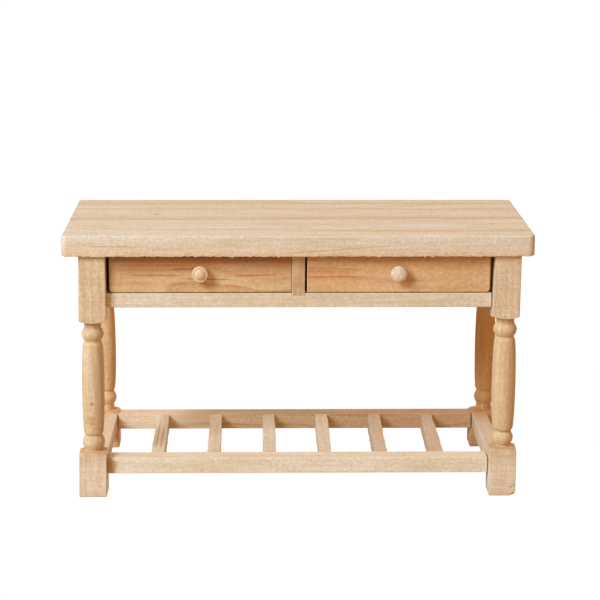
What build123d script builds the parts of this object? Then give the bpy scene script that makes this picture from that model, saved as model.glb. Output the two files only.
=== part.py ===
from build123d import *
import os

# A dolls' house work table at about 1:12: a thick top on four turned legs, two drawers side by side
# under it, and a slatted shelf near the floor. Millimetres, +Z up, floor at Z = 0, origin at floor
# level under the middle of the top. The drawers open towards -Y, and left is -X.

# ---- the whole table --------------------------------------------------------------------------
table_length = 150.0
table_depth = 65.4
table_height = 87.0

# ---- top --------------------------------------------------------------------------------------
top_thickness = 6.6
top_corner_radius = 1.8
top_upper_edge_radius = 0.9
top_lower_edge_radius = 0.5
top_side_overhang = 4.4
top_front_overhang = 1.5

# ---- legs, turned from square blanks ----------------------------------------------------------
leg_size = 8.75
leg_arris_radius = 0.35
foot_edge_radius = 0.3
upper_block_height = 21.4       # from the underside of the top to where the block's corners are cut
shoulder_height = 0.7           # the cut corners under the upper block
foot_block_height = 12.6        # from the floor to where the foot's corners are cut
pommel_height = 2.5             # the rounded shoulder on top of the foot block
neck_radius = 2.7
neck_height = 0.2
collar_height = 2.2             # the plain neck between the upper block and the bead
bead_radius = 3.5
bead_height = 4.9
barrel_radius = 3.65            # at the middle of the long barrel
barrel_end_radius = 3.4
barrel_end_height = 3.2
turning_lift = {"front_left": 0.0, "front_right": 1.3, "rear_left": 0.0, "rear_right": 0.0}

# ---- aprons and the rail under the drawers ----------------------------------------------------
apron_thickness = 5.2
front_rail_height = 4.6
front_rail_top_drop = 12.9      # from the underside of the top to the rail's upper edge
front_rail_set_back = 2.5       # behind the front faces of the legs

# ---- the case behind the rail -----------------------------------------------------------------
case_floor_thickness = 1.6
divider_width = 4.1
divider_let_in = 0.8            # how far the divider stands down into a notch in the rail

# ---- drawers ----------------------------------------------------------------------------------
drawer_face_set_back = 0.3      # behind the rail's face
drawer_end_gap = 0.8            # each side of a drawer front, when it is centred
drawer_shift = {"left": 0.6, "right": 0.0}      # how far each drawer sits off centre
drawer_bottom_gap = 0.25        # under a drawer front
drawer_top_gap = 0.35           # over a drawer front
drawer_running_gap = 0.15       # under the drawer sides
drawer_back_gap = 0.3           # behind the drawers, in front of the rear apron
drawer_front_thickness = 3.8
drawer_side_thickness = 2.0
drawer_side_inset = 0.3         # sides stand in from the ends of the front
drawer_side_drop = 1.8          # sides are lower than the front
drawer_rabbet_depth = 1.6
drawer_back_thickness = 2.0
drawer_bottom_thickness = 1.3
drawer_bottom_lift = 0.7        # underside of the bottom board, over the lower edge of the sides
groove_depth = 0.8

# ---- knobs ------------------------------------------------------------------------------------
knob_radius = 2.7
knob_projection = 4.2
knob_lift = 0.3                 # above the middle of the drawer front
knob_stem_radius = 1.3
knob_stem_length = 1.1
knob_face_radius = 1.9          # where the rounded rim meets the domed face
knob_dome_height = 0.45
knob_spigot_radius = 1.0
knob_spigot_length = 2.4

# ---- slatted shelf ----------------------------------------------------------------------------
shelf_top_height = 12.35
stretcher_height = 5.15
stretcher_depth = 6.8           # front and rear stretchers
side_stretcher_width = 5.35
stretcher_set_back = 2.8        # behind the outer faces of the legs
slat_count = 6
slat_width = 4.1

# ---- joinery ----------------------------------------------------------------------------------
tenon_length = 1.4
tenon_thickness = 2.0
mortise_wall = 0.4              # wood left between two mortises that meet at a leg's inner corner
tenon_shoulder = 0.8            # above and below each tenon
joint_clearance = 0.05
arris_radius = 0.25             # softened long edges on all the small stock

# ---- places worked out from the sizes above -----------------------------------------------------
underside = table_height - top_thickness
leg_outer_x = table_length / 2 - top_side_overhang
leg_outer_y = table_depth / 2 - top_front_overhang
leg_inner_x = leg_outer_x - leg_size
leg_inner_y = leg_outer_y - leg_size
leg_axis_x = leg_outer_x - leg_size / 2
leg_axis_y = leg_outer_y - leg_size / 2

rail_top = underside - front_rail_top_drop
rail_bottom = rail_top - front_rail_height
rail_front_y = -leg_outer_y + front_rail_set_back
rail_rear_y = rail_front_y + apron_thickness
shelf_bottom_height = shelf_top_height - stretcher_height
shelf_inner_x = leg_outer_x - stretcher_set_back - side_stretcher_width
shelf_outer_y = leg_outer_y - stretcher_set_back
shelf_inner_y = shelf_outer_y - stretcher_depth

parts = {}


def block(x, y, z):
    """A box between two places on each axis."""
    size = [high - low for low, high in (x, y, z)]
    middle = [(high + low) / 2 for low, high in (x, y, z)]
    return Pos(*middle) * Box(*size)


def eased(piece, axis, radius=arris_radius):
    """Rounds off the edges that run along one axis."""
    return fillet(piece.edges().filter_by(axis), radius)


def grown(span, by):
    return (span[0] - by, span[1] + by)


def mirrored(span):
    return (-span[1], -span[0])


# Every rail is listed here once: the axis it runs along, from leg to leg, which side of the table it
# is on, and its section as distances outwards from the middle of the table and up from the floor.
# Its own body, its tenons and the mortises in the legs all come from these spans.
apron_x = (leg_inner_x, leg_inner_x + apron_thickness)
apron_y = (leg_inner_y, leg_inner_y + apron_thickness)
side_stretcher_x = (shelf_inner_x, shelf_inner_x + side_stretcher_width)
stretcher_y = (shelf_inner_y, shelf_outer_y)
apron_z = (rail_bottom, underside)
rail_z = (rail_bottom, rail_top)
shelf_z = (shelf_bottom_height, shelf_top_height)

rails = {
    "front_rail": {"along": "x", "side": -1, "out": (-rail_rear_y, -rail_front_y), "up": rail_z},
    "rear_apron": {"along": "x", "side": 1, "out": apron_y, "up": apron_z},
    "side_apron_left": {"along": "y", "side": -1, "out": apron_x, "up": apron_z},
    "side_apron_right": {"along": "y", "side": 1, "out": apron_x, "up": apron_z},
    "front_stretcher": {"along": "x", "side": -1, "out": stretcher_y, "up": shelf_z},
    "rear_stretcher": {"along": "x", "side": 1, "out": stretcher_y, "up": shelf_z},
    "side_stretcher_left": {"along": "y", "side": -1, "out": side_stretcher_x, "up": shelf_z},
    "side_stretcher_right": {"along": "y", "side": 1, "out": side_stretcher_x, "up": shelf_z},
}


def rail_block(rail, along, out, up):
    """A box in a rail's own terms, put on its side of the table."""
    out = out if rail["side"] > 0 else mirrored(out)
    return block(along, out, up) if rail["along"] == "x" else block(out, along, up)


def tenon(rail, end, clearance=0.0):
    """A rail's tenon at its low end (-1) or its high end (1). With a clearance it is the mortise.

    It is centred where the rail's section meets the leg, clear of the leg's inner corner, which
    holds the tenon of the rail that comes in at a right angle.
    """
    if rail["along"] == "x":
        inner, face = leg_inner_x, (leg_inner_y, leg_outer_y)
    else:
        inner, face = leg_inner_y, (leg_inner_x, leg_outer_x)
    low = max(rail["out"][0], face[0] + tenon_length + mortise_wall)
    high = min(rail["out"][1], face[1])
    out = ((low + high - tenon_thickness) / 2, (low + high + tenon_thickness) / 2)
    along = (inner, inner + tenon_length + clearance)
    along = along if end > 0 else mirrored(along)
    return rail_block(rail, along, grown(out, clearance), grown(rail["up"], clearance - tenon_shoulder))


def rail_piece(rail):
    inner = leg_inner_x if rail["along"] == "x" else leg_inner_y
    piece = rail_block(rail, (-inner, inner), rail["out"], rail["up"])
    piece = eased(piece, Axis.X if rail["along"] == "x" else Axis.Y)
    return piece + tenon(rail, -1) + tenon(rail, 1)


def turned_solid(lift):
    """The lathe's cut: a solid of revolution that leaves the two square blocks untouched."""
    clear_radius = leg_size
    pommel_start = foot_block_height + lift
    pommel_end = pommel_start + pommel_height
    low_bead = pommel_end + neck_height
    barrel_start = low_bead + bead_height + neck_height
    shoulder = underside - upper_block_height + lift
    collar_end = shoulder - shoulder_height
    high_bead_top = collar_end - collar_height
    high_bead = high_bead_top - bead_height
    barrel_end = high_bead - neck_height
    barrel_middle = (barrel_start + barrel_end) / 2
    corner_radius = leg_size / 2 * 2 ** 0.5
    end_bulge = (neck_radius + 2 * barrel_end_radius) / 3

    outline = Polyline((0, 0), (clear_radius, 0), (clear_radius, pommel_start), (corner_radius, pommel_start))
    outline += ThreePointArc((corner_radius, pommel_start),
                             (leg_size / 2, pommel_start + 0.7 * pommel_height),
                             (neck_radius, pommel_end))
    outline += Line((neck_radius, pommel_end), (neck_radius, low_bead))
    outline += ThreePointArc((neck_radius, low_bead), (bead_radius, low_bead + bead_height / 2),
                             (neck_radius, low_bead + bead_height))
    outline += Line((neck_radius, low_bead + bead_height), (neck_radius, barrel_start))
    outline += ThreePointArc((neck_radius, barrel_start),
                             (end_bulge, barrel_start + barrel_end_height / 3),
                             (barrel_end_radius, barrel_start + barrel_end_height))
    outline += ThreePointArc((barrel_end_radius, barrel_start + barrel_end_height),
                             (barrel_radius, barrel_middle),
                             (barrel_end_radius, barrel_end - barrel_end_height))
    outline += ThreePointArc((barrel_end_radius, barrel_end - barrel_end_height),
                             (end_bulge, barrel_end - barrel_end_height / 3),
                             (neck_radius, barrel_end))
    outline += Line((neck_radius, barrel_end), (neck_radius, high_bead))
    outline += ThreePointArc((neck_radius, high_bead), (bead_radius, high_bead + bead_height / 2),
                             (neck_radius, high_bead_top))
    outline += Polyline((neck_radius, high_bead_top), (neck_radius, collar_end),
                        (leg_size / 2, collar_end), (corner_radius, shoulder),
                        (clear_radius, shoulder), (clear_radius, underside), (0, underside), (0, 0))
    return revolve(make_face(Plane.XZ * outline), Axis.Z)


# ---- top ----------------------------------------------------------------------------------------
def make_top():
    top = block((-table_length / 2, table_length / 2), (-table_depth / 2, table_depth / 2),
                (underside, table_height))
    top = eased(top, Axis.Z, top_corner_radius)
    top = fillet(top.faces().sort_by(Axis.Z)[-1].edges(), top_upper_edge_radius)
    return fillet(top.faces().sort_by(Axis.Z)[0].edges(), top_lower_edge_radius)


parts["tabletop"] = make_top()


# ---- legs -----------------------------------------------------------------------------------------
def make_leg(place):
    x = leg_axis_x if place.endswith("right") else -leg_axis_x
    y = leg_axis_y if place.startswith("rear") else -leg_axis_y
    half = leg_size / 2
    blank = eased(block((-half, half), (-half, half), (0, underside)), Axis.Z, leg_arris_radius)
    blank = fillet(blank.faces().sort_by(Axis.Z)[0].edges(), foot_edge_radius)
    leg = Pos(x, y, 0) * (blank & turned_solid(turning_lift[place]))
    for rail in rails.values():
        beside, end = (y, x) if rail["along"] == "x" else (x, y)
        if rail["side"] * beside > 0:
            leg -= tenon(rail, end, joint_clearance)
    return leg


for place in turning_lift:
    parts["leg_" + place] = make_leg(place)

# ---- aprons, rails and stretchers --------------------------------------------------------------
for name, rail in rails.items():
    parts[name] = rail_piece(rail)


# ---- the divider between the drawers, let into the rail ----------------------------------------
divider_x = (-divider_width / 2, divider_width / 2)
divider_y = (rail_front_y, rail_rear_y)
divider_z = (rail_top - divider_let_in, underside)
parts["drawer_divider"] = eased(block(divider_x, divider_y, divider_z), Axis.Z)
notch = block(grown(divider_x, joint_clearance), grown(divider_y, arris_radius),
              (divider_z[0], rail_top + arris_radius))
parts["front_rail"] -= notch

# ---- the floor and the partition inside the case ------------------------------------------------
floor_z = (rail_top - case_floor_thickness, rail_top)
parts["case_floor"] = block((-leg_inner_x, leg_inner_x), (rail_rear_y, leg_inner_y), floor_z)
parts["centre_partition"] = block(divider_x, (divider_y[1], leg_inner_y), (rail_top, underside))

# ---- drawers ------------------------------------------------------------------------------------
drawer_front_length = leg_inner_x - divider_width / 2 - 2 * drawer_end_gap
drawer_y = (rail_front_y + drawer_face_set_back, leg_inner_y - drawer_back_gap)
drawer_z = (rail_top + drawer_bottom_gap, underside - drawer_top_gap)
front_rear_y = drawer_y[0] + drawer_front_thickness
side_z = (rail_top + drawer_running_gap, drawer_z[1] - drawer_side_drop)
board_z = (side_z[0] + drawer_bottom_lift, side_z[0] + drawer_bottom_lift + drawer_bottom_thickness)
knob_z = (drawer_z[0] + drawer_z[1]) / 2 + knob_lift


def make_knob(x):
    """A ball-shaped knob with a slightly domed face and a round spigot, turned about Y."""
    rim_start = knob_stem_length
    face_start = knob_projection - knob_dome_height
    outline = Polyline((0, -knob_spigot_length), (knob_spigot_radius, -knob_spigot_length),
                       (knob_spigot_radius, 0), (knob_stem_radius, 0), (knob_stem_radius, rim_start))
    outline += ThreePointArc((knob_stem_radius, rim_start), (knob_radius, (rim_start + face_start) / 2),
                             (knob_face_radius, face_start))
    outline += TangentArc((0, knob_projection), (knob_face_radius, face_start), tangent=(1, 0))
    outline += Line((0, knob_projection), (0, -knob_spigot_length))
    knob = revolve(make_face(Plane.XZ * outline), Axis.Z)
    return Pos(x, drawer_y[0], knob_z) * Rot(90, 0, 0) * knob


def make_drawer(side):
    sign = 1 if side == "right" else -1
    middle = sign * (leg_inner_x + divider_width / 2) / 2 + drawer_shift[side]
    front_x = (middle - drawer_front_length / 2, middle + drawer_front_length / 2)
    outer_x = grown(front_x, -drawer_side_inset)
    inner_x = grown(outer_x, -drawer_side_thickness)
    side_y = (front_rear_y - drawer_rabbet_depth, drawer_y[1])
    board_x = grown(inner_x, groove_depth - joint_clearance)
    board_y = (front_rear_y - groove_depth + joint_clearance, drawer_y[1])
    groove = block(grown(inner_x, groove_depth), (front_rear_y - groove_depth, drawer_y[1] + 1),
                   grown(board_z, joint_clearance))

    front = eased(block(front_x, (drawer_y[0], front_rear_y), drawer_z), Axis.X)
    for rabbet_x in ((front_x[0] - 1, inner_x[0]), (inner_x[1], front_x[1] + 1)):
        front -= block(rabbet_x, (side_y[0], front_rear_y + 1), grown(drawer_z, 1))
    front -= groove
    hole = Cylinder(knob_spigot_radius + joint_clearance, knob_spigot_length + joint_clearance,
                    align=(Align.CENTER, Align.CENTER, Align.MAX))
    front -= Pos(middle, drawer_y[0], knob_z) * Rot(90, 0, 0) * hole

    name = "drawer_" + side + "_"
    parts[name + "front"] = front
    parts[name + "side_left"] = block((outer_x[0], inner_x[0]), side_y, side_z) - groove
    parts[name + "side_right"] = block((inner_x[1], outer_x[1]), side_y, side_z) - groove
    parts[name + "back"] = block(inner_x, (drawer_y[1] - drawer_back_thickness, drawer_y[1]),
                                 (board_z[1], side_z[1]))
    parts[name + "bottom"] = block(board_x, board_y, board_z)
    parts[name + "knob"] = make_knob(middle)


for side in ("left", "right"):
    make_drawer(side)

# ---- shelf slats, evenly spaced between the side stretchers --------------------------------------
slat_pitch = (2 * shelf_inner_x + slat_width) / (slat_count + 1)
for number in range(1, slat_count + 1):
    x = (number - (slat_count + 1) / 2) * slat_pitch
    slat = block((x - slat_width / 2, x + slat_width / 2), (-shelf_inner_y, shelf_inner_y), shelf_z)
    parts[f"shelf_slat_{number}"] = eased(slat, Axis.Y)

# ---- write one file for each piece ---------------------------------------------------------------
os.makedirs("parts", exist_ok=True)
for name, piece in parts.items():
    export_step(piece, f"parts/{name}.step")
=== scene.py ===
import bpy
import random
from math import pi, radians, sin
from mathutils import Matrix, Vector


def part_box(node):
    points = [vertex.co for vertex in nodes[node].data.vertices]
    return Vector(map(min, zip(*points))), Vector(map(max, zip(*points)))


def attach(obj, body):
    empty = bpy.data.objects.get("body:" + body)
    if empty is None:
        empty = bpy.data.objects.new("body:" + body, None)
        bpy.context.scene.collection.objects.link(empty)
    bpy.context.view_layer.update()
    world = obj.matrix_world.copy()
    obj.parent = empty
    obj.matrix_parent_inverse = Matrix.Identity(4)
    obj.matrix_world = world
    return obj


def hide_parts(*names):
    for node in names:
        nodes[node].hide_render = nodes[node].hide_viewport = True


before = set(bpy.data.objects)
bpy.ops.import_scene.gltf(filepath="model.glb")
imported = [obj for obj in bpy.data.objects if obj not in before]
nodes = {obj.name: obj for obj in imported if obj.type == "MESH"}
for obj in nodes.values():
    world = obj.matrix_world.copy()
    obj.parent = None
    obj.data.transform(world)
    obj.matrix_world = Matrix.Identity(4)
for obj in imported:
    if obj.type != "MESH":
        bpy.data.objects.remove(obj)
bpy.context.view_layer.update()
scene = bpy.context.scene
scene.view_settings.view_transform = "Standard"
bpy.ops.object.select_all(action="DESELECT")


# ---- Turned legs -------------------------------------------------------------------------------
# Each leg is one square stick of pine. The lathe cuts two beads and a long barrel into it, and leaves
# a square block above, which takes the rails, and a square foot. They were turned by hand, so no two
# are alike: the front left one leans a little, and the front right one's turning sits higher.
mm = 0.001


def linear(colour):
    """An sRGB hex colour as linear red, green, blue and alpha."""
    parts = [int(colour[i:i + 2], 16) / 255 for i in (1, 3, 5)]
    return [c / 12.92 if c <= 0.04045 else ((c + 0.055) / 1.055) ** 2.4 for c in parts] + [1.0]


def add(tree, kind, *values, take=0, named=None, **settings):
    """Adds a shader node and returns the output take, by its number or name. values go to its sockets
    in order, and named gives sockets by name or number. A value is a number, or a node's output."""
    node = tree.nodes.new("ShaderNode" + kind)
    for setting, value in settings.items():
        setattr(node, setting, value)
    for socket, value in [*enumerate(values), *(named or {}).items()]:
        if isinstance(value, bpy.types.NodeSocket):
            tree.links.new(value, node.inputs[socket])
        else:
            node.inputs[socket].default_value = value
    return node.outputs[take] if node.outputs else None


def pine(name, pale, tan, along, seed, pith=(25, -60), ring=4.0, contrast=0.5, grain=0.45, nap=0.6,
         fleck=0.3, saw=0.0, arris=0.0, streaks_and_painted_shade=(), marks_and_painted_light=(), cut="#c49a6c", rough=0.72):
    """Bare sanded pine: dull, dry and pale, with tan lines of late wood and fine fibres.

    Sizes are in millimetres. along is the axis of the grain, pith the heart of the tree in the plane
    across it, and ring a year's growth. contrast, grain, nap, fleck and saw are the strengths of the
    rings, the fibres, the fuzzy sanded nap, the short resin lines and the saw's marks across the
    grain. arris is how much paler the rubbed edges are, cut the colour of end grain, and rough how
    dull the wood is. A streak is a line along the grain, or a band of painted shade: (axis, place,
    fade, strength, start, stop, slope, colour), sharp on one side and fading on the other, over fade,
    and down if fade is negative. A knot is a round mark or stain, or a round patch of painted light or
    shade: (x, y, z, radius, strength, colour).
    """
    rubbed_colour = "#f1e2c8"
    wobble = 8.0        # how far the growth rings wander
    soft_line = 0.12    # half the width of a streak's sharp side
    nap_height = 0.1    # how deep the fuzzy surface is
    made = bpy.data.materials.new(name)
    made.use_nodes = True
    tree = made.node_tree
    tree.nodes.clear()
    whole = add(tree, "VectorMath", add(tree, "TexCoord", take="Object"), named={"Scale": 1000.0},
                operation="SCALE")
    xyz = [add(tree, "SeparateXYZ", whole, take=i) for i in range(3)]
    normal = [add(tree, "SeparateXYZ", add(tree, "TexCoord", take="Normal"), take=i) for i in range(3)]
    order = {"X": (0, 1, 2), "Y": (1, 0, 2), "Z": (2, 0, 1)}[along]
    length, width, depth = (xyz[i] for i in order)
    # each seed is wood from another place in the tree
    log = add(tree, "CombineXYZ", add(tree, "Math", length, seed * 173.0, operation="ADD"),
              add(tree, "Math", width, seed * 31.0, operation="ADD"), depth)

    def cloud(lengthwise, across, detail=2.0, roughness=0.5):
        """A soft random pattern with so many waves to a millimetre along the grain and across it."""
        drawn_out = add(tree, "VectorMath", log, (lengthwise, across, across), operation="MULTIPLY")
        return add(tree, "TexNoise", drawn_out,
                   named={"Scale": 1.0, "Detail": detail, "Roughness": roughness})

    # growth rings: pale early wood that darkens slowly and ends at a sharp line
    wander = cloud(0.018, 0.07)
    from_pith = add(tree, "CombineXYZ", add(tree, "Math", width, pith[0], operation="SUBTRACT"),
                    add(tree, "Math", depth, pith[1], operation="SUBTRACT"))
    radius = add(tree, "VectorMath", from_pith, take="Value", operation="LENGTH")
    age = add(tree, "Math", wander, wobble / ring, add(tree, "Math", radius, ring, operation="DIVIDE"),
              operation="MULTIPLY_ADD")
    season = add(tree, "Math", age, operation="FRACT")
    year = add(tree, "TexWhiteNoise", named={"W": add(tree, "Math", age, operation="FLOOR")},
               noise_dimensions="1D")
    darkening = add(tree, "MapRange", season, 0.2, 0.92, 0.0, 1.0, interpolation_type="SMOOTHSTEP")
    winter = add(tree, "MapRange", season, 0.93, 1.0, 1.0, 0.0, interpolation_type="SMOOTHSTEP")
    late = add(tree, "Math", add(tree, "Math", darkening, winter, operation="MULTIPLY"),
               add(tree, "Math", year, 0.8 * contrast, 0.2 * contrast, operation="MULTIPLY_ADD"),
               operation="MULTIPLY")
    colour = add(tree, "Mix", late, named={6: linear(pale), 7: linear(tan)}, take=2, data_type="RGBA")

    # broad warmer patches, and short resin lines a third of a millimetre wide
    patch = add(tree, "MapRange", cloud(0.05, 0.16), 0.35, 0.75, 0.0, 0.28,
                interpolation_type="SMOOTHSTEP")
    colour = add(tree, "Mix", patch, named={6: colour, 7: linear(tan)}, take=2, data_type="RGBA")
    dash = add(tree, "MapRange", cloud(0.30, 2.6), 0.62, 0.72, 0.0, 1.0,
               interpolation_type="SMOOTHSTEP")
    colour = add(tree, "Mix", add(tree, "Math", dash, fleck, operation="MULTIPLY"),
                 named={6: colour, 7: linear(tan)}, take=2, data_type="RGBA")

    for axis, place, fade, strength, start, stop, slope, dark in streaks_and_painted_shade:
        away = add(tree, "Math", width if axis == "width" else depth, place, operation="SUBTRACT")
        away = add(tree, "Math", length, -slope, away, operation="MULTIPLY_ADD")
        away = add(tree, "Math", add(tree, "Math", wander, 0.5, operation="SUBTRACT"),
                   min(2.0, abs(fade)), away, operation="MULTIPLY_ADD")
        away = add(tree, "Math", away, 1.0 if fade > 0 else -1.0, operation="MULTIPLY")
        share = strength
        taper = min(24.0, (stop - start) / 4)
        limits = ((away, -soft_line, soft_line, 0.0, 1.0), (away, 0.1, abs(fade), 1.0, 0.0),
                  (length, start, start + taper, 0.0, 1.0), (length, stop - taper, stop, 1.0, 0.0))
        for value, low, high, first, last in limits:
            limit = add(tree, "MapRange", value, low, high, first, last,
                        interpolation_type="SMOOTHSTEP")
            share = add(tree, "Math", limit, share, operation="MULTIPLY")
        colour = add(tree, "Mix", share, named={6: colour, 7: linear(dark)}, take=2, data_type="RGBA")

    # the nap: fuzzy sanded fibres, drawn a millimetre across so that they show
    grit = cloud(0.9, 1.1, 3.0, 0.62)
    for x, y, z, size, strength, dark in marks_and_painted_light:
        away = add(tree, "VectorMath", whole, (x, y, z), take="Value", operation="DISTANCE")
        away = add(tree, "Math", add(tree, "Math", grit, 0.5, operation="SUBTRACT"), size, away,
                   operation="MULTIPLY_ADD")
        share = add(tree, "MapRange", away, 0.4 * size, size, strength, 0.0,
                    interpolation_type="SMOOTHSTEP")
        colour = add(tree, "Mix", share, named={6: colour, 7: linear(dark)}, take=2, data_type="RGBA")

    # end grain is darker, and rubbed edges are paler
    sides = [add(tree, "Math", part, operation="ABSOLUTE") for part in normal]
    cut_end = add(tree, "MapRange", sides[order[0]], 0.75, 0.95, 0.0, 0.6,
                  interpolation_type="SMOOTHSTEP")
    colour = add(tree, "Mix", cut_end, named={6: colour, 7: linear(cut)}, take=2, data_type="RGBA")
    if arris:
        flat = add(tree, "Math", add(tree, "Math", sides[0], sides[1], operation="MAXIMUM"), sides[2],
                   operation="MAXIMUM")
        rubbed = add(tree, "MapRange", flat, 0.98, 0.80, 0.0, arris, interpolation_type="SMOOTHSTEP")
        colour = add(tree, "Mix", rubbed, named={6: colour, 7: linear(rubbed_colour)}, take=2,
                     data_type="RGBA")

    fibre = cloud(0.05, 1.1, 4.0, 0.65)
    shade = 1.0
    for pattern, strength in ((fibre, grain), (grit, nap), (cloud(1.3, 0.10, 2.0, 0.6), saw)):
        if strength:
            lit = add(tree, "Math", pattern, strength, 1.0 - strength / 2, operation="MULTIPLY_ADD")
            shade = add(tree, "Math", lit, shade, operation="MULTIPLY")
    # darker wood is also browner, so each colour is shaded by its own power
    tint = add(tree, "CombineXYZ", *[add(tree, "Math", shade, power, operation="POWER")
                                     for power in (0.75, 1.2, 1.75)])
    colour = add(tree, "Mix", 1.0, named={6: colour, 7: tint}, take=2, data_type="RGBA",
                 blend_type="MULTIPLY")

    height = add(tree, "Math", fibre, 0.5, add(tree, "Math", grit, 0.8, operation="MULTIPLY"),
                 operation="MULTIPLY_ADD")
    height = add(tree, "Math", dash, -0.4, height, operation="MULTIPLY_ADD")
    bump = add(tree, "Bump", named={"Strength": 0.2, "Distance": nap_height * mm, "Height": height})
    shader = add(tree, "BsdfPrincipled",
                 named={"Base Color": colour, "Roughness": rough, "Normal": bump})
    add(tree, "OutputMaterial", shader)
    return made


def choose(chosen, kind="VERT"):
    """Selects the points, edges or faces of the mesh in edit mode whose middle, in mm, is chosen."""
    bpy.ops.mesh.select_mode(type=kind)
    bpy.ops.mesh.select_all(action="DESELECT")
    bpy.ops.object.mode_set(mode="OBJECT")
    mesh = bpy.context.object.data
    if kind == "VERT":
        for point in mesh.vertices:
            point.select = chosen(point.co / mm)
    elif kind == "EDGE":
        for edge in mesh.edges:
            ends = [mesh.vertices[i].co / mm for i in edge.vertices]
            edge.select = chosen((ends[0] + ends[1]) / 2, ends[1] - ends[0])
    else:
        for face in mesh.polygons:
            face.select = chosen(face.center / mm, face.normal)
    bpy.ops.object.mode_set(mode="EDIT")


def block(name, low, high):
    """A block between two corners, in millimetres, left in edit mode with all of it selected."""
    low, high = Vector(low) * mm, Vector(high) * mm
    bpy.ops.object.select_all(action="DESELECT")
    bpy.ops.mesh.primitive_cube_add(size=1.0, location=(low + high) / 2)
    made = bpy.context.object
    made.name = name
    made.scale = high - low
    bpy.ops.object.transform_apply(location=True, rotation=False, scale=True)
    bpy.ops.object.mode_set(mode="EDIT")
    return made


def turn(name, outline, lean=0.0):
    """Turns a solid on the lathe, about Z. outline lists (height, radius) in mm, from the bottom up,
    and its axis leans by so many mm in X from the bottom to the top."""
    bpy.ops.object.select_all(action="DESELECT")
    low, radius = outline[0]
    top = outline[-1][0]
    bpy.ops.mesh.primitive_circle_add(vertices=64, radius=radius * mm, fill_type="NGON",
                                      location=(0, 0, low * mm))
    made = bpy.context.object
    made.name = name
    bpy.ops.object.transform_apply(location=True)
    bpy.ops.object.mode_set(mode="EDIT")
    bpy.ops.mesh.select_all(action="SELECT")
    height = low
    for next_height, next_radius in outline[1:]:
        rise = next_height - height
        step = (lean * rise / (top - low), 0, rise)
        middle = (lean * (next_height - low) / (top - low), 0, next_height)
        bpy.ops.mesh.extrude_region_move(TRANSFORM_OT_translate={"value": Vector(step) * mm})
        grow = next_radius / radius
        bpy.ops.transform.resize(value=(grow, grow, 1), center_override=Vector(middle) * mm)
        height, radius = next_height, next_radius
    bpy.ops.mesh.select_all(action="SELECT")
    bpy.ops.mesh.normals_make_consistent(inside=False)
    bpy.ops.object.mode_set(mode="OBJECT")
    return made


def bulge(low, high, groove, swell, steps, power):
    """(height, radius) points of a bead or a barrel between two grooves."""
    return [(low + (high - low) * i / steps, groove + (swell - groove) * sin(pi * i / steps) ** power)
            for i in range(steps + 1)]


def carve(piece, tool, operation):
    """Cuts a piece with a tool, or keeps only what is inside the tool, and throws the tool away."""
    cutting = piece.modifiers.new("cut", "BOOLEAN")
    cutting.object = tool
    cutting.operation = operation
    cutting.solver = "MANIFOLD"
    bpy.context.view_layer.objects.active = piece
    bpy.ops.object.modifier_apply(modifier="cut")
    bpy.data.objects.remove(tool)


def chip(piece, place, size, turned):
    """Breaks a lump off a piece: place, size and turn of the lump are in millimetres and degrees."""
    bpy.ops.object.select_all(action="DESELECT")
    bpy.ops.mesh.primitive_ico_sphere_add(subdivisions=2, radius=1.0, location=Vector(place) * mm)
    lump = bpy.context.object
    lump.scale = Vector(size) * mm
    lump.rotation_euler = [radians(angle) for angle in turned]
    bpy.ops.object.transform_apply(location=True, rotation=True, scale=True)
    uneven = random.Random(3)
    for point in lump.data.vertices:
        point.co += Vector([uneven.uniform(-0.12, 0.12) for i in range(3)]) * mm
    carve(piece, lump, "DIFFERENCE")


leg_height, block_foot = 80.4, 59.0
front_legs_y, rear_legs_y = -26.75, 26.8
leg_arris, foot_edge = 0.32, 0.45


def make_leg(place, foot, head, crown, axis, outline, turned_pale, wood, chips=()):
    """foot, head and crown are the (x, size) of the stick at the floor, at the foot of its upper block
    and at its top, and axis is the x of the turning's two ends, all in mm. wood is the pattern of its
    pine, and turned_pale the pale colour where the lathe has burnished it."""
    y = front_legs_y if "front" in place else rear_legs_y
    half = foot[1] / 2
    leg = block("turned_leg_" + place, (foot[0] - half, y - half, 0),
                (foot[0] + half, y + half, leg_height))
    bpy.ops.mesh.bisect(plane_co=(0, 0, block_foot * mm), plane_no=(0, 0, 1))
    for x, size, height in ((*head, block_foot), (*crown, leg_height)):
        choose(lambda point: abs(point.z - height) < 1)
        bpy.ops.transform.translate(value=((x - foot[0]) * mm, 0, 0))
        bpy.ops.transform.resize(value=(size / foot[1], size / foot[1], 1),
                                 center_override=(x * mm, y * mm, height * mm))
    choose(lambda middle, way: abs(way.z) > 10, "EDGE")
    bpy.ops.mesh.bevel(offset=leg_arris * mm, segments=3)
    choose(lambda middle, way: middle.z < 0.01, "EDGE")
    bpy.ops.mesh.bevel(offset=foot_edge * mm, segments=3)
    bpy.ops.object.mode_set(mode="OBJECT")
    for lump in chips:
        chip(leg, *lump)
    turning = turn("turning", outline, axis[1] - axis[0])
    turning.location = (axis[0] * mm, y * mm, 0)
    carve(leg, turning, "INTERSECT")
    bpy.ops.object.shade_smooth_by_angle(angle=radians(32))
    leg.data.materials.clear()
    leg.data.materials.append(pine(f"leg_{place}_pine", along="Z", saw=0.35, **wood))
    turned_wood = {**wood, "pale": turned_pale}
    leg.data.materials.append(pine(f"leg_{place}_turned_pine", along="Z", **turned_wood))
    bpy.ops.object.mode_set(mode="EDIT")
    bpy.ops.mesh.select_all(action="SELECT")
    leg.active_material_index = 0
    bpy.ops.object.material_slot_assign()
    # the lathe has cut the faces between the blocks that lie nearer to its axis than the stick's sides
    leg.active_material_index = 1
    choose(lambda middle, way: 12 < middle.z < 62
           and (middle.xy - Vector((axis[0], y))).length < 4.25 and abs(way.y) < 0.9999, "FACE")
    bpy.ops.object.material_slot_assign()
    bpy.ops.object.mode_set(mode="OBJECT")
    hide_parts("leg_" + place)
    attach(leg, "table")


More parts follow.
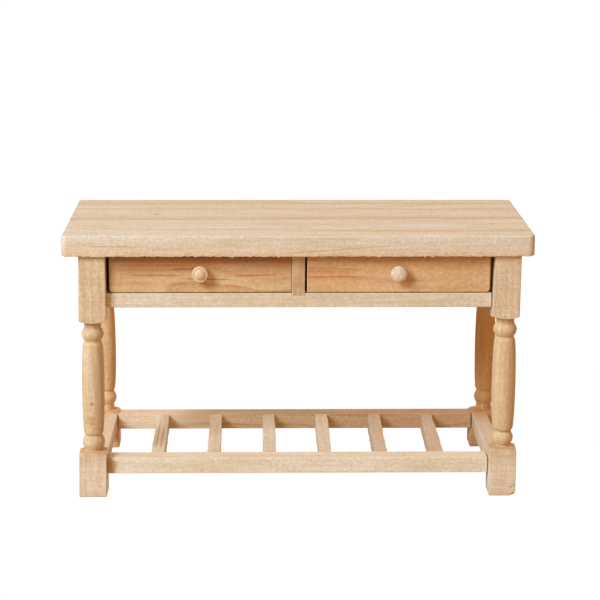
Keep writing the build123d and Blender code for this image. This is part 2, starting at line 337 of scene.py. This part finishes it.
def leg_outline(foot_top, low_groove, low_bead, low_swell, groove, barrel, bead, swell, neck,
                shoulder, ridge):
    """The turning's outline, as (height, radius) from the floor up. foot_top, low_bead (where the lower
    bead starts), bead (where the upper one starts) and shoulder are heights, the others are radii, and
    ridge is how sharp the beads are. At the radius clear the outline leaves the stick square, and
    corner and drop are the radius and the height of the foot's rounded corners."""
    clear, corner, drop = 8.0, 6.3, 1.25
    low_bead_height, bead_height = 4.6, 4.3
    low_gap, gap = 0.2, 0.3     # the cuts between the beads and the barrel
    fullness = 0.32             # the barrel's, and the less it is the fuller
    outline = [(-1.0, clear), (foot_top - drop - 0.5, clear), (foot_top - drop, corner)]
    outline += [(foot_top - drop * (1 - i / 12) ** 2.2, corner + (low_groove - corner) * i / 12)
                for i in range(1, 13)]
    outline += bulge(low_bead, low_bead + low_bead_height, low_groove, low_swell, 14, ridge)
    outline += bulge(low_bead + low_bead_height + low_gap, bead - gap, groove, barrel, 36, fullness)
    outline += bulge(bead, bead + bead_height, neck, swell, 14, ridge)
    # the neck, and the slanting cut under the upper block
    return outline + [(shoulder - 0.1, neck), (shoulder, 4.4), (shoulder + 0.8, 6.2),
                      (shoulder + 1.5, clear), (leg_height + 1, clear)]


make_leg("front_left", (-66.75, 9.0), (-65.8, 8.8), (-65.65, 8.45), (-66.6, -65.85),
         leg_outline(15.1, 2.95, 15.35, 3.62, 2.7, 3.64, 51.8, 3.5, 2.7, 58.2, 1.1),
         "#dac39a", dict(pale="#dac8a4", tan="#c28e56", seed=2, pith=(30, 50), ring=2.6, contrast=0.45,
                         fleck=0.5, marks_and_painted_light=[(-66.7, -30.3, 31.3, 0.55, 0.7, "#80552c"),
                                           (-66.6, -30.3, 33.2, 0.4, 0.5, "#80552c"),
                                           (-67.4, -30.0, 25.5, 2.4, 0.4, "#b57c40"),
                                           (-66.0, -30.0, 6.0, 9.0, 0.5, "#efdcc2")]))
# its foot has lost the lower outer corner, and a torn splinter stands out above the break
make_leg("front_right", (66.75, 8.8), (66.45, 8.8), (66.85, 8.35), (66.85, 66.75),
         leg_outline(16.2, 2.53, 16.65, 3.5, 2.9, 3.86, 53.1, 3.8, 2.9, 59.5, 0.9),
         "#dcc296", dict(pale="#ddcaa6", tan="#c5935c", seed=5, pith=(40, 70), ring=2.2, contrast=0.4,
                         fleck=0.45, marks_and_painted_light=[(66.0, -30.0, 6.0, 9.0, 0.6, "#efe0c8"),
                                            (70.2, -31.2, 2.0, 1.8, 0.7, "#f6dfae"),
                                            (69.6, -31.3, 3.1, 0.7, 0.5, "#9a7142")]),
         chips=[((71.7, -31.6, 0.0), (2.7, 2.8, 1.75), (0, -14, 20)),
                ((71.7, -31.5, 3.3), (1.2, 1.9, 0.6), (0, 20, 35))])
# the rear legs are painted in deeper, warmer colours than the front ones, the right one darkest: painted
# shade under the table
make_leg("rear_left", (-66.3, 8.9), (-66.2, 8.8), (-66.2, 8.8), (-66.4, -66.3),
         leg_outline(13.2, 2.63, 15.2, 3.5, 2.6, 3.55, 51.8, 3.5, 2.7, 58.2, 1.1),
         "#e6c08c", dict(pale="#e6c08c", tan="#c28c50", seed=9, pith=(-30, 60), ring=2.6, contrast=0.5,
                         fleck=0.5))
make_leg("rear_right", (66.3, 8.9), (66.5, 8.8), (66.5, 8.8), (67.0, 66.9),
         leg_outline(13.2, 2.63, 15.2, 3.45, 2.75, 3.55, 51.8, 3.5, 2.7, 58.2, 1.1),
         "#dcb27c", dict(pale="#dcb27c", tan="#b97e42", seed=12, pith=(-30, 60), ring=2.6, contrast=0.5,
                         fleck=0.5))


# ---- Rails and aprons --------------------------------------------------------------------------
# Planed pine strips with short tenons in the legs. The front rail carries the drawers, and the
# upright between the drawers stands on it.
def clothe(name, material):
    """Gives a piece of the frame its finish."""
    nodes[name].data.materials.clear()
    nodes[name].data.materials.append(material)


# the darker patch at the front rail's left end is painted shade from the front left leg
clothe("front_rail", pine("front_rail_pine", "#dfd0b2", "#c9a87a", "X", 21, (10, -50), 5.0, 0.25,
                          arris=0.5, marks_and_painted_light=[(-61.5, -28.7, 65, 3.6, 0.16, "#c07c3c")]))
clothe("drawer_divider", pine("drawer_divider_pine", "#d0b388", "#b98a55", "Z", 23, (30, 50), 1.6, 0.5,
                              fleck=0.5, arris=0.5))
for seed, name in enumerate(("rear_apron", "side_apron_left", "side_apron_right")):
    clothe(name, pine(name + "_pine", "#e0c7a3", "#c79b69", "X" if seed == 0 else "Y", 25 + seed,
                      (12 - 20 * seed, -40), 3.6, 0.5, arris=0.4))


# ---- Inner boards ------------------------------------------------------------------------------
# Thin pine boards between the front and the rear apron. The drawers run on the case floor, and the
# partition keeps them apart.
for seed, name in enumerate(("case_floor", "centre_partition")):
    clothe(name, pine(name + "_pine", "#dcbf97", "#bd925f", "Y", 31 + seed, (5, -30), 3.0, 0.4))


# ---- Drawer boxes ------------------------------------------------------------------------------
# Two small boxes of thin wood, open on top, behind the drawer fronts. Their sides sit in rabbets in the
# fronts, and their bottoms in grooves.
for side in ("left", "right"):
    for seed, part in enumerate(("side_left", "side_right", "back", "bottom")):
        name = f"drawer_{side}_{part}"
        clothe(name, pine(name + "_wood", "#e2c8a2", "#c99f6d", "X" if part == "back" else "Y",
                          35 + seed + 5 * (side == "right"), (5, -30), 3.0, 0.4, arris=0.4))


# ---- Drawer fronts -----------------------------------------------------------------------------
# Small boards of warmer pine with a few dark streaks, and along each top a dark band of painted shade
# from the tabletop above. Their outer lower corners are rounded off. They are planed to fit close at the
# divider, and the right one fits close at its leg as well.
lower_corner, upper_edge, face_edge = 1.3, 0.35, 0.4
towards_divider, towards_right_leg = 0.12, 0.35


def make_drawer_front(side, outer, material):
    """outer is -1 for the left drawer and 1 for the right one: the side of its rounded corner."""
    low, high = (Vector(corner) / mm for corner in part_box(f"drawer_{side}_front"))
    low.x -= towards_divider if outer > 0 else 0.0
    high.x += towards_divider if outer < 0 else towards_right_leg
    front = block(f"front_of_drawer_{side}", low, high)
    edge = low.x if outer < 0 else high.x
    choose(lambda middle, way: abs(way.y) > 1 and middle.z < high.z - 1
           and abs(middle.x - edge) < 1, "EDGE")
    bpy.ops.mesh.bevel(offset=lower_corner * mm, segments=6)
    choose(lambda middle, way: abs(way.y) > 1 and abs(middle.z - high.z) < 0.1, "EDGE")
    bpy.ops.mesh.bevel(offset=upper_edge * mm, segments=3)
    choose(lambda middle, way: abs(middle.y - low.y) < 0.01, "EDGE")
    bpy.ops.mesh.bevel(offset=face_edge * mm, segments=4)
    bpy.ops.object.mode_set(mode="OBJECT")
    bpy.ops.object.shade_smooth_by_angle(angle=radians(32))
    front.data.materials.append(material)
    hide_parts(f"drawer_{side}_front")
    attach(front, "drawer_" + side)


brown, russet, umber = "#97642f", "#c67d42", "#754620"
# the first two bands, dark along the top of the front, are painted shade from the tabletop's overhang;
# the others are dark streaks in the wood
left_streaks_and_painted_shade = [("depth", 79.95, -3.4, 0.74, -80, 20, 0.0, "#784414"),
                ("depth", 79.75, -9.2, 0.78, -80, 20, 0.0, "#a96f37"),
                ("depth", 76.9, -4.5, 0.4, -70, -28, 0.0, "#a86c30"),
                ("depth", 79.9, -1.2, 0.6, -62, -8, 0.0, umber),
                ("depth", 77.9, -3.0, 0.5, -58, -18, 0.010, russet),
                ("depth", 77.3, -0.5, 0.8, -56, -34, 0.012, brown),
                ("depth", 75.9, -0.55, 0.9, -42, -27, 0.012, umber),
                ("depth", 73.0, -0.5, 0.7, -55, -36, -0.01, brown),
                ("depth", 71.6, 0.5, 0.8, -39, -19, -0.012, brown),
                ("depth", 73.9, -0.45, 0.9, -21, -6, 0.025, umber),
                ("depth", 75.3, -2.6, 0.45, -26, -2, 0.01, russet),
                ("depth", 70.6, 1.4, 0.4, -60, -44, 0.0, russet)]
right_streaks_and_painted_shade = [("depth", 76.2, -0.7, 0.6, -1, 22, -0.03, brown),
                 ("depth", 75.6, -3.2, 0.7, -3, 21, -0.01, russet),
                 ("depth", 73.05, -0.45, 0.95, -3, 23, 0.004, brown),
                 ("depth", 73.2, -2.0, 0.5, -3, 27, 0.0, russet),
                 ("depth", 71.0, 1.6, 0.35, 22, 46, 0.01, russet),
                 # the last band, along the top of the front, is painted shade from the tabletop's
                 # overhang
                 ("depth", 80.2, -2.6, 0.5, -10, 75, 0.0, "#a06a2c")]
make_drawer_front("left", -1,
                  pine("drawer_left_pine", "#e0c08e", "#b67b3e", "X", 45, (-60, 60), 2.3, 0.5,
                       grain=0.6, fleck=0.6, arris=0.3, streaks_and_painted_shade=left_streaks_and_painted_shade))
make_drawer_front("right", 1,
                  pine("drawer_right_pine", "#e2bd8a", "#c28a4c", "X", 49, (-80, 70), 3.6, 0.25,
                       grain=0.4, nap=0.7, fleck=0.4, arris=0.3, streaks_and_painted_shade=right_streaks_and_painted_shade))


# ---- Knobs -------------------------------------------------------------------------------------
# Turned from close pale wood, each with a short stem glued into the drawer front. The left one has a
# cut ring round a domed face, and the right one is flatter and shows end grain.
def make_knob(side, outline, material):
    """outline lists (distance from the drawer's face, radius) in mm."""
    low, high = (Vector(corner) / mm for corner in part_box(f"drawer_{side}_knob"))
    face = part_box(f"drawer_{side}_front")[0].y / mm
    knob = turn("turned_knob_" + side, outline)
    knob.location = Vector(((low.x + high.x) / 2, face, (low.z + high.z) / 2)) * mm
    knob.rotation_euler = (radians(90), 0, 0)
    bpy.ops.object.transform_apply(location=True, rotation=True)
    bpy.ops.object.shade_smooth_by_angle(angle=radians(50))
    knob.data.materials.append(material)
    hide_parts(f"drawer_{side}_knob")
    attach(knob, "drawer_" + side)


stem = [(-1.0, 1.3), (1.0, 1.3), (1.2, 1.5), (1.45, 2.0), (1.75, 2.35), (2.1, 2.6), (2.5, 2.7)]
ring_and_dome = [(2.85, 2.66), (3.15, 2.52), (3.38, 2.3), (3.42, 2.18), (3.34, 2.06), (3.28, 1.96),
                 (3.4, 1.8), (3.72, 1.5), (3.98, 1.15), (4.13, 0.7), (4.2, 0.02)]
flat_face = [(2.85, 2.66), (3.2, 2.5), (3.5, 2.2), (3.7, 1.85), (3.85, 1.4), (3.95, 0.8), (4.0, 0.02)]
make_knob("left", stem + ring_and_dome,
          pine("knob_left_wood", "#e0c498", "#cfa370", "Y", 53, (30, 50), 1.8, 0.25, grain=0.3, nap=0.4,
               fleck=0.2, cut="#d8b88b"))
make_knob("right", stem + flat_face,
          pine("knob_right_wood", "#e2d0b0", "#b8946a", "Y", 57, (30, 50), 1.8, 0.25, grain=0.3, nap=1.2,
               fleck=0.7, cut="#e1cba8"))


# ---- Shelf -------------------------------------------------------------------------------------
# Four stretchers between the feet carry six slats, which are glued in flush with them. The slats were
# cut loosely, and the fifth has torn fibres along its left edge.
# the darker patch at the front stretcher's left end is painted shade from the left foot
clothe("front_stretcher",
       pine("front_stretcher_pine", "#ebdfc4", "#cda775", "X", 61, (10, -50), 4.0, 0.3, arris=0.4,
            marks_and_painted_light=[(-61.5, -28.5, 9.5, 3.6, 0.6, "#c08347")]))
# the pale patch on the rear stretcher's left is painted light, and the tan patch on its right is painted
# shade
clothe("rear_stretcher",
       pine("rear_stretcher_pine", "#e8cfa2", "#c4905a", "X", 62, (10, -70), 2.2, 0.6, arris=0.4,
            marks_and_painted_light=[(-56, 28, 10, 26, 0.6, "#f4dfbe"), (40, 28, 10, 40, 0.33, "#ba7420"),
                   (-27, 28, 9, 5, 0.4, "#a86a35")],
            streaks_and_painted_shade=[("depth", 12.5, -1.0, 0.4, -200, 200, 0.0, "#8c643c")]))
clothe("side_stretcher_left",
       pine("side_stretcher_left_pine", "#e4ceb0", "#c49b6b", "Y", 65, (10, -50), 4.0, 0.3, arris=0.4))
clothe("side_stretcher_right",
       pine("side_stretcher_right_pine", "#e0ccb0", "#bb9468", "Y", 66, (10, -50), 4.0, 0.3, fleck=0.5,
            arris=0.4, marks_and_painted_light=[(65.0, -4.0, 12.35, 0.9, 0.6, "#efe0cc")]))
slat_edge, cut_spacing = 0.25, 0.9      # the cuts across a slat let its edges bow


def make_slat(number, fray, material):
    """fray is how far the torn fibres stand out from the slat's left edge, in millimetres."""
    node = f"shelf_slat_{number}"
    low, high = (Vector(corner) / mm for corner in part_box(node))
    slat = block(f"slat_{number}", low, high)
    choose(lambda middle, way: abs(way.y) > 1, "EDGE")
    bpy.ops.mesh.bevel(offset=slat_edge * mm, segments=2)
    place = low.y + 1.5
    while place < high.y - 1:
        bpy.ops.mesh.select_all(action="SELECT")
        bpy.ops.mesh.bisect(plane_co=(0, place * mm, 0), plane_no=(0, 1, 0))
        place += cut_spacing
    bpy.ops.object.mode_set(mode="OBJECT")
    uneven = random.Random(10 + number)
    phase = uneven.uniform(0, 6)
    for point in slat.data.vertices:
        place = point.co / mm
        side = 1 if place.x > (low.x + high.x) / 2 else -1
        bow = 0.10 * sin(place.y * 0.11 + phase) + 0.05 * sin(place.y * 0.5 + phase * 2 * side)
        point.co.x += (side * bow + uneven.uniform(-0.025, 0.025)) * mm
        if side < 0 and fray and -14 < place.y < 6:
            point.co.x -= fray * max(0.0, uneven.uniform(-1.0, 1.0)) * mm
    bpy.ops.object.shade_smooth_by_angle(angle=radians(40))
    slat.data.materials.append(material)
    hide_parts(node)
    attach(slat, "table")


slat_streaks = {1: [("width", -47.0, 0.6, 0.6, -20, 16, 0.01, "#96693e"),
                    ("width", -45.6, 1.2, 0.5, -22, 10, 0.0, brown)]}
slat_spacing = 18.4
for number in range(1, 7):
    # the fifth and sixth slats are painted darker, as painted shade under the right of the table
    pale = "#e1d2b6" if number < 5 else "#ccb697"
    make_slat(number, 0.45 if number == 5 else 0.0,
              pine(f"slat_{number}_pine", pale, "#c49a6a", "Y", 70 + number,
                   (slat_spacing * number - 75, -40), 3.0, 0.45, fleck=0.4, arris=0.5,
                   streaks_and_painted_shade=slat_streaks.get(number, ())))


# ---- Tabletop ----------------------------------------------------------------------------------
# One thick board with its grain along the table and its corners rounded off. The saw has left its
# lower edge rough, with a few torn splinters, and the board has two fine cracks in front.
left_corner, right_corner, top_edge, lower_edge = 1.6, 2.2, 0.45, 0.2
low, high = (Vector(corner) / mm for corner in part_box("tabletop"))
top = block("top_board", low, high)
choose(lambda middle, way: abs(way.z) > 1 and middle.x < 0, "EDGE")
bpy.ops.mesh.bevel(offset=left_corner * mm, segments=6)
choose(lambda middle, way: abs(way.z) > 1 and middle.x > 74, "EDGE")
bpy.ops.mesh.bevel(offset=right_corner * mm, segments=7)
choose(lambda middle, way: abs(middle.z - high.z) < 0.01, "EDGE")
bpy.ops.mesh.bevel(offset=top_edge * mm, segments=4)
choose(lambda middle, way: abs(middle.z - low.z) < 0.01, "EDGE")
bpy.ops.mesh.bevel(offset=lower_edge * mm, segments=2)
# cut into short lengths, so that the lower edge can be torn
for axis, step in (("x", 0.5), ("y", 2.2), ("z", 1.6)):
    place = getattr(low, axis) + step
    while place < getattr(high, axis) - step / 2:
        bpy.ops.mesh.select_all(action="SELECT")
        bpy.ops.mesh.bisect(plane_co=[place * mm if axis == a else 0 for a in "xyz"],
                            plane_no=[1.0 if axis == a else 0 for a in "xyz"])
        place += step
bpy.ops.object.mode_set(mode="OBJECT")
splinters, splinter_length = (-21.0, -6.5, 25.5, 40.0, 42.5), 0.55      # their x, and how far down
chance = random.Random(4)
for point in top.data.vertices:
    place = point.co / mm
    if place.z < low.z + 0.25 and place.y < low.y + 0.5:
        splinter = min(abs(place.x - x) for x in splinters) < 0.3
        torn = splinter_length if splinter and place.y < low.y + 0.3 else chance.uniform(-0.12, 0.28)
        point.co.z -= torn * mm
        point.co.y += chance.uniform(0.0, 0.1) * mm
bpy.ops.object.shade_smooth_by_angle(angle=radians(40))
ochre, grey_tan = "#c69b68", "#c9ad88"
top_streaks = [("width", 27.0, -7.0, 0.35, -100, 100, 0.0, grey_tan),
               ("width", 24.2, 0.8, 0.5, -30, 90, 0.0, ochre),
               ("width", 24.0, 6.0, 0.35, -100, 100, 0.0, grey_tan),
               ("width", 16.4, -6.0, 0.4, -100, 100, 0.005, grey_tan),
               ("width", 12.0, 3.0, 0.35, 10, 90, 0.004, ochre),
               ("width", -4.3, 9.0, 0.5, -100, 100, 0.012, ochre),
               ("width", -4.5, 1.0, 0.5, -100, 100, 0.012, "#b4854f"),
               ("width", -12.5, 2.0, 0.3, -60, 30, 0.006, grey_tan),
               ("width", -25.5, 5.0, 0.55, -14, 100, 0.01, ochre),
               ("width", -26.0, 0.8, 0.45, 0, 100, 0.01, "#b4854f"),
               ("width", -22.5, 4.0, 0.4, -90, 10, 0.0, grey_tan),
               ("depth", 79.0, 12.0, 0.52, -100, 100, 0.0, "#e6b878"),
               ("depth", 83.75, 0.2, 0.8, -67.5, -52, 0.004, "#86592f"),
               ("depth", 81.58, 0.2, 0.7, -8, 33, 0.0724, "#966638")]
top.data.materials.append(pine(
    "top_board_pine", "#d8d7c6", "#c4a778", "X", 81, (60, -140), 9.0, 0.12, grain=0.5, nap=0.6,
    fleck=0.2, arris=0.12,
    marks_and_painted_light=[(-46.7, 4.8, 87, 0.95, 0.9, "#705a42"), (63.6, -12.6, 87, 0.85, 0.8, "#7d6340")],
    streaks_and_painted_shade=top_streaks))
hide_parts("tabletop")
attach(top, "table")


# ---- Camera, light and floor -------------------------------------------------------------------
# A long lens looks slightly down on the table. A soft window lamp stands high on the left in front, a
# weak one fills in front, two light the rear, and the warm light of the room fills the shadows. The
# floor is white paper that keeps a faint shadow.
camera_data = bpy.data.cameras.new("camera")
camera_data.sensor_width = 36.0
camera_data.lens = 115.5
camera = bpy.data.objects.new("camera", camera_data)
scene.collection.objects.link(camera)
dip, turned, roll = 13.096, 1.297, 0.213
camera_place = (-0.0131, -0.6285, 0.2049)
camera.matrix_world = (Matrix.Translation(camera_place)
                       @ Matrix.Rotation(radians(-turned), 4, "Z")
                       @ Matrix.Rotation(radians(90 - dip), 4, "X")
                       @ Matrix.Rotation(radians(roll), 4, "Z"))
scene.camera = camera
table_middle = Vector((0, 0, 0.045))


def lamp(name, place, size, watts, colour):
    """A round soft lamp that faces the table's middle."""
    data = bpy.data.lights.new(name, "AREA")
    data.shape = "DISK"
    data.size = size
    data.energy = watts
    data.color = linear(colour)[:3]
    made = bpy.data.objects.new(name, data)
    made.location = place
    made.rotation_euler = (table_middle - Vector(place)).to_track_quat("-Z", "Y").to_euler()
    scene.collection.objects.link(made)


lamp("window", (-0.60, -0.61, 0.62), 0.48, 12.0, "#d0e6ff")
lamp("low_front_lamp", (0.10, -0.95, 0.30), 0.60, 0.5, "#d8ecff")
lamp("room_lamp", (0.45, 0.75, 0.60), 0.50, 1.5, "#fff4e6")
lamp("low_back_lamp", (0.12, 0.95, 0.04), 0.10, 3.5, "#fff1e0")


def seen(tree):
    """1 where a thing is seen, by the camera or in gloss or glass, and 0 where it only lights."""
    camera_ray, glossy_ray, transmission_ray = [add(tree, "LightPath", take=f"Is {kind} Ray")
                                                for kind in ("Camera", "Glossy", "Transmission")]
    either = add(tree, "Math", camera_ray, glossy_ray, operation="MAXIMUM")
    return add(tree, "Math", either, transmission_ray, operation="MAXIMUM")


white = linear("#ffffff")
world = bpy.data.worlds.new("room")
scene.world = world
world.use_nodes = True
tree = world.node_tree
tree.nodes.clear()
warm_room = add(tree, "Background", linear("#ffbb5e"), 0.56)
white_room = add(tree, "Background", white, 1.0)
add(tree, "OutputWorld", add(tree, "MixShader", seen(tree), warm_room, white_room))

bpy.ops.object.select_all(action="DESELECT")
bpy.ops.mesh.primitive_plane_add(size=6.0, location=(0, 0, 0))
floor = bpy.context.object
floor.name = "floor"
paper = bpy.data.materials.new("white_paper")
paper.use_nodes = True
tree = paper.node_tree
tree.nodes.clear()
# four fifths of the paper that is seen glows white, and the rest shows the shadow
share = add(tree, "Math", seen(tree), 0.80, operation="MULTIPLY")
matt = add(tree, "BsdfDiffuse", linear("#b8a282"))
glow = add(tree, "Emission", white, 1.24)
add(tree, "OutputMaterial", add(tree, "MixShader", share, matt, glow))
floor.data.materials.append(paper)
